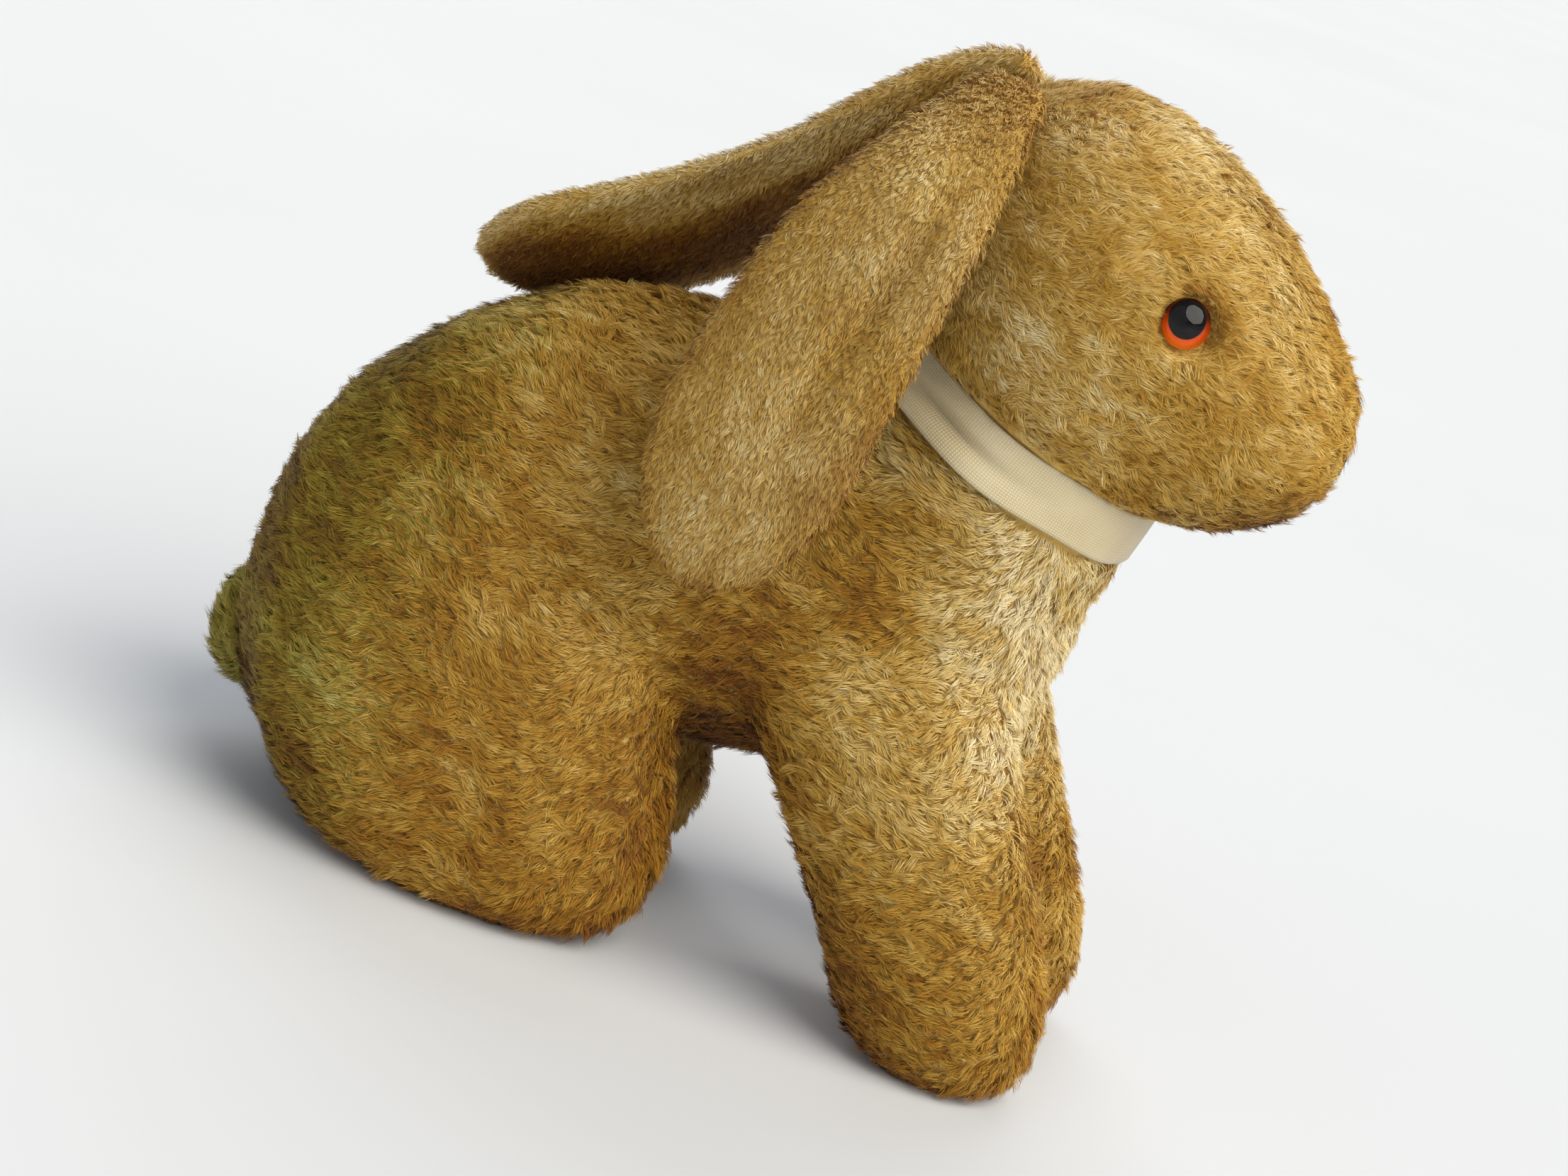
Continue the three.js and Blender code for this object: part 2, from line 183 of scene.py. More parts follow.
# ---- materials ----
class Nodes:
    """A material's node tree, built one node at a time."""

    def __init__(self, name, **inputs):
        self.material = bpy.data.materials.new(name)
        self.material.use_nodes = True
        self.tree = self.material.node_tree
        self.shader = self.tree.nodes["Principled BSDF"]
        for socket, value in inputs.items():
            self.shader.inputs[socket.replace("_", " ")].default_value = value

    def add(self, kind, inputs=(), **settings):
        node = self.tree.nodes.new(kind)
        for key, value in settings.items():
            setattr(node, key, value)
        for key, value in dict(inputs).items():
            if isinstance(value, bpy.types.NodeSocket):
                self.tree.links.new(value, node.inputs[key])
            else:
                node.inputs[key].default_value = value
        return node

    def link(self, output, socket):
        self.tree.links.new(output, self.shader.inputs[socket])

    def place(self):
        return self.add("ShaderNodeTexCoord").outputs["Object"]

    def noise(self, scale, detail, distortion=0.0):
        return self.add("ShaderNodeTexNoise", {
            "Vector": self.place(), "Scale": scale, "Detail": detail, "Distortion": distortion,
        }).outputs["Fac"]

    def ramp(self, factor, stops):
        node = self.add("ShaderNodeValToRGB", {"Fac": factor})
        elements = node.color_ramp.elements
        while len(elements) < len(stops):
            elements.new(0.5)
        for element, (position, colour) in zip(elements, stops):
            element.position = position
            element.color = (*colour, 1)
        return node.outputs["Color"]

    def paint(self, factor, stops):
        self.link(self.ramp(factor, stops), "Base Color")

    def bump(self, height, strength, distance):
        node = self.add("ShaderNodeBump", {"Height": height, "Strength": strength, "Distance": distance})
        self.link(node.outputs["Normal"], "Normal")


# The pile's colours, from palest to darkest. Strands are numbered along this list.
PILE_COLOURS = {
    "cream": (0.86, 0.72, 0.42), "straw": (0.75, 0.565, 0.22), "wheat": (0.64, 0.42, 0.11),
    "honey": (0.53, 0.305, 0.045), "gold": (0.42, 0.205, 0.017), "amber": (0.31, 0.125, 0.007),
    "brown": (0.19, 0.062, 0.004),
}
DARKEST = len(PILE_COLOURS) - 1
OLIVE = (0.61, 0.81, 0.56)  # what the sun-faded rump keeps of each colour
GREYED = 0.12  # how far the worn ears have gone to grey


def pile_material(name, colour):
    return Nodes(f"mohair_{name}", Base_Color=(*colour, 1), Roughness=0.62, Specular_IOR_Level=0.25,
                 Sheen_Weight=0.12, Sheen_Roughness=0.4, Sheen_Tint=(1.0, 0.9, 0.7, 1)).material


def backing_material():
    made = Nodes("mohair_backing", Roughness=0.95, Sheen_Weight=0.2)
    patches = made.noise(45, 3)
    grain = made.noise(620, 2)
    mixed = made.add("ShaderNodeMath", {0: patches, 1: grain}, operation="ADD").outputs[0]
    made.paint(mixed, [(0.35, (0.42, 0.22, 0.03)), (0.6, (0.55, 0.32, 0.06)), (0.85, (0.66, 0.42, 0.1))])
    made.bump(grain, 0.6, 0.6 * MM)
    return made.material


def wadding_material():
    made = Nodes("wadding", Roughness=1.0)
    fibres = made.noise(400, 6, distortion=1.5)
    made.paint(fibres, [(0.3, (0.5, 0.4, 0.24)), (0.7, (0.82, 0.74, 0.55))])
    made.bump(fibres, 0.8, 1 * MM)
    return made.material


def hardboard_material():
    made = Nodes("hardboard", Roughness=0.85)
    fibres = made.noise(900, 5, distortion=0.6)
    made.paint(fibres, [(0.3, (0.2, 0.11, 0.05)), (0.7, (0.36, 0.21, 0.1))])
    made.bump(fibres, 0.4, 0.2 * MM)
    return made.material


def steel_material():
    made = Nodes("steel", Metallic=1.0, Roughness=0.35)
    scratches = made.noise(1500, 4, distortion=0.3)
    made.paint(scratches, [(0.3, (0.42, 0.42, 0.43)), (0.7, (0.62, 0.62, 0.62))])
    return made.material


def thread_material():
    made = Nodes("dark_thread", Roughness=0.75)
    wave = {"Vector": made.place(), "Scale": 500.0, "Distortion": 1.0}
    twist = made.add("ShaderNodeTexWave", wave).outputs["Fac"]
    made.paint(twist, [(0.2, (0.012, 0.008, 0.006)), (0.9, (0.06, 0.04, 0.028))])
    made.bump(twist, 0.5, 0.15 * MM)
    return made.material


def ribbon_material():
    """Plain weave from the ribbon's own UVs, which count millimetres along and across it."""
    made = Nodes("ribbon_satin", Roughness=0.42, Anisotropic=0.4, Sheen_Weight=0.4, Sheen_Roughness=0.3)
    uv = made.add("ShaderNodeTexCoord").outputs["UV"]
    pitches = {"X": 0.62, "Y": 0.5}  # of the threads, in millimetres
    waves = []
    for direction, pitch in pitches.items():
        bands = {"Vector": uv, "Scale": math.pi / (10 * pitch), "Distortion": 0.25, "Detail Scale": 0.6}
        wave = made.add("ShaderNodeTexWave", bands,
                        wave_type="BANDS", bands_direction=direction, wave_profile="SIN")
        waves.append(wave.outputs["Fac"])
    weave = made.add("ShaderNodeMath", {0: waves[0], 1: waves[1]}, operation="MULTIPLY").outputs[0]
    ageing = made.noise(60, 3)
    both = made.add("ShaderNodeMath", {0: weave, 1: ageing}, operation="ADD").outputs[0]
    made.paint(both, [(0.3, (0.44, 0.34, 0.18)), (0.6, (0.55, 0.45, 0.26)), (1.0, (0.66, 0.56, 0.35))])
    made.bump(weave, 0.55, 0.12 * MM)
    return made.material


def glass_material():
    return Nodes("eye_glass", Roughness=0.0, IOR=1.35, Base_Color=(1, 1, 1, 1), Transmission_Weight=1.0,
                 Specular_IOR_Level=0.1).material


def pupil_material():
    made = Nodes("pupil_enamel", Roughness=0.5, Specular_IOR_Level=0.0)
    specks = made.noise(900, 2)
    made.paint(specks, [(0.3, (0.002, 0.002, 0.002)), (0.8, (0.01, 0.008, 0.008))])
    return made.material


def iris_material(side):
    """Orange enamel, with painted shade that darkens it towards its upper edge."""
    made = Nodes(f"iris_{side}_enamel", Roughness=0.5, Specular_IOR_Level=0.0)
    low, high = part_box(f"eye_{side}_iris")
    height = made.add("ShaderNodeSeparateXYZ", {0: made.place()}).outputs["Z"]
    share = made.add("ShaderNodeMapRange", {
        "Value": height, "From Min": low.z, "From Max": high.z, "To Min": 0.0, "To Max": 1.0,
    }).outputs[0]
    mottle = made.add("ShaderNodeMath", {0: made.noise(1200, 2), 1: 0.12}, operation="MULTIPLY").outputs[0]
    tone = made.add("ShaderNodeMath", {0: share, 1: mottle}, operation="ADD").outputs[0]
    # painted shade: the enamel darkens towards the top, where the socket shades it
    made.paint(tone, [(0.1, (1.0, 0.16, 0.004)), (0.4, (0.75, 0.07, 0.002)), (0.75, (0.06, 0.005, 0.001))])
    return made.material


def floor_material():
    made = Nodes("pale_floor", Roughness=0.8)
    made.paint(made.noise(3, 3), [(0.3, (0.67, 0.68, 0.69)), (0.7, (0.69, 0.7, 0.71))])
    return made.material


# ---- stage, lights and camera ----
def make_stage():
    """A wide pale floor that curves up all round."""
    reach, bend, steps = 12.0, 2.4, 10
    turns = [math.pi / 2 * i / steps for i in range(steps + 1)]
    rim = [(reach + bend * math.sin(turn), bend * (1 - math.cos(turn))) for turn in turns]
    floor = revolved("floor", [(0, 0), (1.0, 0), *rim], segments=96)
    smooth_shaded(floor.data)
    floor.data.materials.append(floor_material())


def soft_sun(name, source, strength, colour, spread):
    """Parallel light from the direction of `source`, softened over an angle in degrees."""
    light = bpy.data.lights.new(name, "SUN")
    light.energy, light.color, light.angle = strength, colour, math.radians(spread)
    lamp = new_object(name, light)
    lamp.location = source
    lamp.rotation_euler = Vector(source).to_track_quat("Z", "Y").to_euler()


def make_lights():
    soft_sun("key", (1.05, -0.5, 1.1), 3.4, (1.0, 0.96, 0.88), 60)
    soft_sun("fill", (-0.2, -1.0, 0.4), 0.5, (0.9, 0.95, 1.0), 90)
    soft_sun("rim", (-0.25, 0.9, 0.8), 1.3, (0.95, 0.97, 1.0), 60)
    world = bpy.data.worlds.new("studio")
    scene.world = world
    world.use_nodes = True
    sky = world.node_tree.nodes["Background"]
    sky.inputs["Color"].default_value = (0.82, 0.89, 1.0, 1)
    sky.inputs["Strength"].default_value = 0.27
    scene.view_settings.view_transform = "Standard"


def make_camera():
    """Looks from the toy's right, a little from in front and above, rolled so that the nose hangs low."""
    azimuth, elevation, roll = (math.radians(a) for a in (9, 16, 18.84))
    distance, lens = 0.7, 76.73
    target = Vector((0.008, MIDDLE_Y, 0.0779))
    back = Vector((math.sin(azimuth) * math.cos(elevation), -math.cos(azimuth) * math.cos(elevation),
                   math.sin(elevation)))
    level = Vector((math.cos(azimuth), math.sin(azimuth), 0))
    above = back.cross(level)
    right = math.cos(roll) * level + math.sin(roll) * above
    up = -math.sin(roll) * level + math.cos(roll) * above
    camera = new_object("camera", bpy.data.cameras.new("camera"))
    camera.data.lens, camera.data.sensor_width = lens, 36
    camera.data.clip_start, camera.data.clip_end = 0.05, 30
    turn = Matrix((right, up, back)).transposed().to_4x4()
    camera.matrix_world = Matrix.Translation(target + back * distance) @ turn
    scene.camera = camera


# ---- stuffed skins ----
SEAM_HOLD = 2.5 * MM  # how far from a seam the inflated cloth is held
SEAM_WIDTH, SEAM_DEPTH = 1.8 * MM, 0.7 * MM  # of the groove, to each side


def joined(name, nodes, plugs=()):
    """One mesh of several CAD nodes, with a ball at each plug's place to close what passes there."""
    form = bmesh.new()
    for node in nodes:
        form.from_mesh(frame["nodes"][node].data)
    for centre, radius in plugs:
        bmesh.ops.create_uvsphere(form, u_segments=16, v_segments=10, radius=radius,
                                  matrix=Matrix.Translation(centre))
    mesh = bpy.data.meshes.new(name)
    form.to_mesh(mesh)
    form.free()
    return new_object(name, mesh)


def remeshed(thing, voxel):
    modifier = thing.modifiers.new("remesh", "REMESH")
    modifier.mode, modifier.voxel_size = "VOXEL", voxel
    return settle(thing)


def keep_outside(thing):
    """Deletes every closed surface but the outer one."""
    form = bmesh.new()
    form.from_mesh(thing.data)
    form.verts.ensure_lookup_table()
    start = max(form.verts, key=lambda v: v.co.x)
    seen, waiting = {start.index}, [start]
    while waiting:
        for edge in waiting.pop().link_edges:
            for other in edge.verts:
                if other.index not in seen:
                    seen.add(other.index)
                    waiting.append(other)
    bmesh.ops.delete(form, geom=[v for v in form.verts if v.index not in seen], context="VERTS")
    form.to_mesh(thing.data)
    form.free()
    return thing


def relax(thing, rounds, shrink=0.5, swell=-0.52):
    """Low-pass smoothing that takes out facets and keeps the volume."""
    mesh = thing.data
    edges = np.empty(len(mesh.edges) * 2, np.int32)
    mesh.edges.foreach_get("vertices", edges)
    a, b = edges.reshape(-1, 2).T
    count = len(mesh.vertices)
    ends, others = np.concatenate((a, b)), np.concatenate((b, a))
    degree = np.maximum(np.bincount(ends, minlength=count), 1)[:, None]
    points = points_of(mesh)
    for i in range(rounds * 2):
        mean = np.stack([np.bincount(ends, points[others, k], count) for k in range(3)], 1) / degree
        points += (shrink if i % 2 == 0 else swell) * (mean - points)
    set_points(mesh, points)
    return thing


def node_trees(nodes):
    return [tree_of(frame["nodes"][node].data) for node in nodes]


def seam_nearness(thing, nodes, width):
    """1 on the seams between the panels, falling to 0 a width away from them."""
    trees = node_trees(nodes)
    gaps = []
    for vertex in thing.data.vertices:
        near = sorted(tree.find_nearest(vertex.co)[3] for tree in trees)
        gaps.append(near[1] - near[0])
    return np.clip(1 - np.array(gaps) / width, 0, 1)


def puffed(thing, pins, pressure, cap, frames=20):
    """Blows the skin up as cloth held along its seams. No point moves further than the cap."""
    group = thing.vertex_groups.new(name="seams")
    for i, weight in enumerate(pins):
        if weight > 0.02:
            group.add([i], float(weight), "REPLACE")
    rest = points_of(thing.data)
    cloth = thing.modifiers.new("cloth", "CLOTH")
    cloth.settings.quality = 4
    cloth.settings.tension_stiffness = 12
    cloth.settings.compression_stiffness = 12
    cloth.settings.bending_stiffness = 0.4
    cloth.settings.use_pressure = True
    cloth.settings.uniform_pressure_force = pressure
    cloth.settings.vertex_group_mass = "seams"
    cloth.settings.effector_weights.gravity = 0
    cloth.collision_settings.use_collision = False
    for step in range(1, frames + 1):
        scene.frame_set(step)
    settle(thing)
    scene.frame_set(1)
    moved = points_of(thing.data) - rest
    far = np.linalg.norm(moved, axis=1, keepdims=True)
    set_points(thing.data, rest + moved * np.minimum(1, cap / np.maximum(far, 1e-9)))
    thing.vertex_groups.clear()
    return thing


def subdivided(thing):
    modifier = thing.modifiers.new("subdivision", "SUBSURF")
    modifier.levels = modifier.render_levels = 1
    return settle(thing)


def drawn_in(thing, amounts):
    """Moves each point inwards by its own amount."""
    set_points(thing.data, points_of(thing.data) - normals_of(thing.data) * amounts[:, None])
    return thing


def covered(skin, nodes):
    """Makes the skin the backing cloth that stands for these CAD nodes."""
    smooth_shaded(skin.data)
    skin.data.materials.append(BACKING)
    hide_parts(*nodes)


def stuffed_skin(name, nodes, plugs, body, voxel):
    """The outer skin of sewn panels: rounded, blown up between its seams, and drawn in along them."""
    skin = keep_outside(remeshed(joined(name, nodes, plugs), voxel))
    relax(skin, 14)
    pins = seam_nearness(skin, nodes, SEAM_HOLD)
    puffed(skin, pins, pressure=4, cap=1.6 * MM)
    subdivided(skin)
    relax(skin, 3)
    drawn_in(skin, seam_nearness(skin, nodes, SEAM_WIDTH) * SEAM_DEPTH)
    covered(skin, nodes)
    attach(skin, body)
    return skin


# ---- pile ----
def roots_on(skin, per_mm2, seed):
    """Evenly scattered points on the skin and the normals there."""
    mesh = skin.data
    mesh.calc_loop_triangles()
    corners = np.empty(len(mesh.loop_triangles) * 3, np.int32)
    mesh.loop_triangles.foreach_get("vertices", corners)
    corners = corners.reshape(-1, 3)
    points, normals = points_of(mesh), normals_of(mesh)
    a, b, c = (points[corners[:, k]] for k in range(3))
    areas = np.linalg.norm(np.cross(b - a, c - a), axis=1) / 2
    count = int(areas.sum() / MM ** 2 * per_mm2)
    rng = np.random.default_rng(seed)
    picked = np.searchsorted(np.cumsum(areas) / areas.sum(), (np.arange(count) + rng.random(count)) / count)
    picked = np.minimum(picked, len(areas) - 1)
    u, v = rng.random((2, count))
    over = u + v > 1
    u[over], v[over] = 1 - u[over], 1 - v[over]
    shares = np.stack((1 - u - v, u, v), 1)[:, :, None]
    return (points[corners[picked]] * shares).sum(1), unit((normals[corners[picked]] * shares).sum(1))


def tuft_centres(roots, spacing, rng):
    """Indices of some roots, about one to each cell of a grid with that spacing."""
    order = rng.permutation(len(roots))
    cells = np.floor(roots[order] / spacing).astype(int)
    _, first = np.unique(cells, axis=0, return_index=True)
    return order[first]


def nearest(points, centres):
    tree = KDTree(len(centres))
    for i, centre in enumerate(centres):
        tree.insert(centre, i)
    tree.balance()
    return np.array([tree.find(p)[1] for p in points])


def turned(vectors, axes, angles):
    c, s = np.cos(angles)[:, None], np.sin(angles)[:, None]
    return vectors * c + np.cross(axes, vectors) * s


@dataclass
class Coat:
    """How the pile of one part of the toy grows. Its functions take the roots and the normals there."""

    seed: int
    nap: object  # gives the way the pile lies
    tone: object  # gives a number along the pile's colours
    faded: object  # gives the share of blades in the second family of colours
    trim: object = None  # gives what is left of the length
    per_mm2: float = 7.5
    length: float = 3.5 * MM
    width: float = 0.18 * MM
    tuft: float = 1.9 * MM  # from one tuft to the next
    rise: float = 0.5  # sine of a blade's angle to the skin
    clump: float = 0.55  # how far the blades gather in a tuft
    wild: float = 0.42  # how far tufts turn from the nap, in radians
    swirl: float = 0.8  # how far broad patches turn from the nap, in radians


def strands(skin, coat):
    """Blades of pile: roots, middles, tips, ways across, widths, skin normals, outer and inner colours."""
    rng = np.random.default_rng(coat.seed)
    roots, ups = roots_on(skin, coat.per_mm2, coat.seed + 1)
    keep = coat.trim(roots, ups) if coat.trim else np.ones(len(roots))
    roots, ups, keep = roots[keep > 0.02], ups[keep > 0.02], keep[keep > 0.02]
    nap = coat.nap(roots, ups)
    nap = unit(nap - ups * (nap * ups).sum(1, keepdims=True))
    nap = turned(nap, ups, (field(roots, 14 * MM, coat.seed + 2) - 0.5) * 2 * coat.swirl)
    centres = tuft_centres(roots, coat.tuft, rng)
    tuft = nearest(roots, roots[centres])
    count = len(centres)
    twist = rng.normal(0, coat.wild, count)[tuft] + rng.normal(0, 0.22, len(roots))
    nap = turned(nap, ups, twist)
    size = (rng.normal(1, 0.16, count)[tuft] * rng.normal(1, 0.12, len(roots))).clip(0.5, 1.5)
    rise = (coat.rise + rng.normal(0, 0.12, count)[tuft] + rng.normal(0, 0.06, len(roots))).clip(0.15, 0.95)
    length = (coat.length * size * keep)[:, None]
    rise = rise[:, None]
    lean = np.sqrt(1 - rise ** 2)
    middles = roots + length * 0.5 * (ups * np.minimum(1, rise + 0.22) + nap * lean * 0.72)
    tips = roots + length * (ups * rise * 0.92 + nap * lean)
    lead = centres[tuft]  # the blade that each one's tuft gathers to
    scale = length / (coat.length * size[lead] * keep[lead])[:, None]
    gathered = roots[lead] + (tips - roots)[lead] * scale
    pull = coat.clump * rng.uniform(0.5, 1.25, len(roots))[:, None]
    tips += (gathered - tips) * pull
    middles += (gathered - tips) * pull * 0.25
    along = unit(tips - roots)
    across = unit(np.cross(along, ups))
    roll = rng.normal(0, 0.45, len(roots))
    across = across * np.cos(roll)[:, None] + np.cross(along, across) * np.sin(roll)[:, None]
    width = coat.width * rng.uniform(0.7, 1.25, len(roots))
    tone = coat.tone(roots, ups) + rng.normal(0, 0.35, count)[tuft] + rng.normal(0, 0.45, len(roots))
    family = (rng.random(len(roots)) < coat.faded(roots, ups)) * (DARKEST + 1)
    outer = np.clip(np.round(tone), 0, DARKEST).astype(int) + family
    # the quad by the root takes a colour up to a step darker than the tip: painted shade at the roots and
    # painted highlight on the tips
    inner = np.clip(np.round(tone + rng.uniform(0.0, 0.8, len(roots))), 0, DARKEST).astype(int) + family
    return roots, tucked(middles), tucked(tips), across, width, ups, outer, inner


def tucked(points):
    """Pushes what would come through the ribbon back under it."""
    height, radius = above_neck(points)
    wall = neck_wall(height)
    inside = (height > RIBBON_LOW - 0.6 * MM) & (height < RIBBON_HIGH + 0.6 * MM) & (radius < wall + 5 * MM)
    share = np.where(inside, np.minimum(1, (wall + 0.7 * MM) / np.maximum(radius, 1e-9)), 1)[:, None]
    axis = np.array(NECK) + np.outer(height, NECK_AXIS)
    return axis + (points - axis) * share


FLOOR_GAP = 0.3 * MM
SKIN_SHARE = 0.7  # of the skin's normal in the shading of its pile
MOST_BLADES = 60000  # in one piece
NARROWED = 0.85  # a blade's width at its middle over that at its root
BLADE_FACES = ((0, 1, 2, 3), (3, 2, 4))  # two root points, two middle points and the tip


def pile_piece(name, blades, body, materials, blend=None):
    """One mesh of blades, each a tapering quad and a tip triangle, shaded much as the skin below."""
    roots, middles, tips, across, width, ups, outer, inner = blades
    count = len(roots)
    half = across * (width / 2)[:, None]
    rows = (roots - half, roots + half, middles + half * NARROWED, middles - half * NARROWED, tips)
    points = np.stack(rows, 1).reshape(-1, 3)
    points[:, 2] = np.maximum(points[:, 2], FLOOR_GAP)
    pattern = np.concatenate(BLADE_FACES)
    blade = np.arange(count)[:, None]
    corners = (blade * len(rows) + pattern).ravel()
    starts = (blade * len(pattern) + (0, len(BLADE_FACES[0]))).ravel()
    mesh = bpy.data.meshes.new(name)
    mesh.vertices.add(len(points))
    mesh.loops.add(len(corners))
    mesh.polygons.add(len(starts))
    mesh.vertices.foreach_set("co", points.astype(np.float32).ravel())
    mesh.loops.foreach_set("vertex_index", corners.astype(np.int32))
    mesh.polygons.foreach_set("loop_start", starts.astype(np.int32))
    mesh.polygons.foreach_set("material_index", np.stack((inner, outer), 1).ravel().astype(np.int32))
    mesh.update(calc_edges=True)
    smooth_shaded(mesh)
    own = unit(np.cross(across, tips - roots))
    own *= np.where((own * ups).sum(1) < 0, -1, 1)[:, None]
    shading = unit(ups * SKIN_SHARE + own * (1 - SKIN_SHARE))
    mesh.normals_split_custom_set_from_vertices(np.repeat(shading, len(rows), axis=0))
    for material in materials:
        mesh.materials.append(material)
    piece = new_object(name, mesh)
    if blend:
        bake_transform(piece)
    else:
        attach(piece, body)


def grow(name, skin, coat, body, materials, blend=None):
    """Grows a coat and cuts it along X into pieces of equal count."""
    blades = strands(skin, coat)
    order = np.argsort(blades[0][:, 0], kind="stable")
    for i, share in enumerate(np.array_split(order, math.ceil(len(order) / MOST_BLADES))):
        pile_piece(f"{name}_{i + 1}", [part[share] for part in blades], body, materials, blend)


# ---- the toy ----
make_camera()
make_stage()
make_lights()
BACKING = backing_material()
WARM_PILE = [pile_material(name, colour) for name, colour in PILE_COLOURS.items()]
OLIVE_PILE = [pile_material(f"olive_{name}", [c * kept for c, kept in zip(colour, OLIVE)])
              for name, colour in PILE_COLOURS.items()]
WORN_PILE = [pile_material(f"worn_{name}", [c + GREYED * (sum(colour) / 3 - c) for c in colour])
             for name, colour in PILE_COLOURS.items()]

BODY_NODES = ("body_side_left", "body_side_right", "underbody_gusset")
HEAD_NODES = ("head_side_left", "head_side_right", "head_gusset")
EYES = {side: middle(f"eye_{side}_iris") for side in ("left", "right")}
EYE_RAYS = {side: (EYES[side] - middle(f"eye_{side}_shank")).normalized() for side in EYES}

TRUNK_NAP, HEAD_NAP = (-0.96, 0.0, 0.28), (0.93, 0.0, -0.36)  # the ways the pile lies
SHORT = 0.35  # what is left of the pile's length where it is trimmed or flattened

# Balls that close the holes for the neck pin and the eyes' shanks: centres and radii
neck_plugs = {side: (NECK + NECK_AXIS * side * 3 * MM, 5 * MM) for side in (1, -1)}
eye_plugs = [(EYES[side] - EYE_RAYS[side] * 5 * MM, 4 * MM) for side in EYES]
body_skin = stuffed_skin("body_skin", BODY_NODES, [neck_plugs[-1]], "trunk", voxel=3 * MM)
head_skin = stuffed_skin("head_skin", HEAD_NODES, [neck_plugs[1], *eye_plugs], "head", voxel=2.5 * MM)


def neck_trim(roots, ups):
    """Leaves the pile off under the ribbon and on the faces of the neck joint."""
    height, radius = above_neck(roots)
    facing = np.abs(ups @ np.array(NECK_AXIS))
    wall = neck_wall(height)
    inside = (height > RIBBON_LOW - 1 * MM) & (height < RIBBON_HIGH + 1 * MM) & (radius < wall + 2.5 * MM)
    joint = (np.abs(height) < 3 * MM) & (facing > 0.8) & (radius < wall)
    return np.where(inside | joint, 0.0, 1.0)


def about_eye(points, side):
    """Distance out along the eye's ray from the middle of its iris, and distance from that ray."""
    ray = np.array(EYE_RAYS[side])
    offset = points - np.array(EYES[side])
    along = offset @ ray
    return along, np.linalg.norm(offset - np.outer(along, ray), axis=1)


def press_eyes(skin):
    """Sinks the skin into a shallow socket behind each eye."""
    depth, brim, edge, slope = 1.4 * MM, 5.2 * MM, 8.2 * MM, 5 * MM
    points = points_of(skin.data)
    for side in EYES:
        along, radius = about_eye(points, side)
        floor = -depth + rising(radius, brim, edge - brim) ** 1.5 * slope
        over = (np.abs(along) < 10 * MM) & (radius < edge) & (along > floor)
        points[over] -= np.outer(along - floor, np.array(EYE_RAYS[side]))[over]
    set_points(skin.data, points)


press_eyes(head_skin)


def head_trim(roots, ups):
    """No pile in the eyes, and short pile under the nose and the thread below it."""
    keep = neck_trim(roots, ups)
    for side in EYES:
        along, radius = about_eye(roots, side)
        keep *= np.where(np.abs(along) < 9 * MM, rising(radius, 5 * MM, 3 * MM), 1)
    nose_low, nose_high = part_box("nose_stitches")
    half_widths = {"nose_stitches": (nose_high.y - nose_low.y) / 2, "mouth_stitches": 1.2 * MM}
    for node, half in half_widths.items():
        low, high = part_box(node)
        in_width = np.abs(roots[:, 1] - MIDDLE_Y) < half + 1 * MM
        in_height = (roots[:, 2] > low.z - 1 * MM) & (roots[:, 2] < high.z + 1 * MM)
        keep *= np.where((roots[:, 0] > 85 * MM) & in_width & in_height, SHORT, 1)
    return keep


def trunk_trim(roots, ups):
    """Flattened pile on the soles."""
    return neck_trim(roots, ups) * np.where((ups[:, 2] < -0.6) & (roots[:, 2] < 4 * MM), SHORT, 1.0)


def trunk_nap(roots, ups):
    """Backwards, but down the chest."""
    return TRUNK_NAP + np.outer(np.clip(ups[:, 0], 0, 1), (0, 0, -1.6))


def steady(way):
    """A nap that lies the same way everywhere."""
    return lambda roots, ups: np.broadcast_to(way, roots.shape)


def mottled(roots, seed, flow):
    """Broad stains, and small streaks along the flow."""
    flow = np.array(flow)
    stains = field(roots - np.outer(roots @ flow, flow) * 0.3, 15 * MM, seed) - 0.5
    streaks = field(roots - np.outer(roots @ flow, flow) * 0.55, 3.6 * MM, seed + 1) - 0.5
    return 2.2 * stains + 2.0 * streaks


def trunk_tone(roots, ups):
    """Colour number: pale on the chest, where the bib is pale and painted highlight brightens the pile that
    faces forwards; painted shade under the belly, in the fold before the hind leg and over the rump; darker
    on the feet.
    """
    x, z = roots[:, 0], roots[:, 2]
    chest = rising(x, 35 * MM, 25 * MM) * rising(z, 45 * MM, 25 * MM)
    # painted shade: pile that faces downwards is darker
    under = np.clip(-ups[:, 2], 0, 1)
    # painted shade in the crease before the hind leg
    fold = np.exp(-((x - 9 * MM) / (17 * MM)) ** 2 - ((z - 60 * MM) / (26 * MM)) ** 2)
    # painted shade over the rump
    rump_shade = rising(-x, 58 * MM, 30 * MM)
    feet = rising(-z, -60 * MM, 50 * MM)
    # pale bib on the chest, with painted highlight on the pile that faces forwards
    pale = chest * (1.1 + 2.0 * np.clip(ups[:, 0] + 0.3, 0, 1))
    return 2.9 - pale + 2.0 * under + 1.9 * fold + 1.1 * rump_shade + 0.95 * feet + mottled(roots, 5, TRUNK_NAP)


def trunk_faded(roots, ups):
    """Share of the pile in the faded colours, growing towards the rump."""
    return np.clip((-42 * MM - roots[:, 0]) / (38 * MM), 0, 0.95)


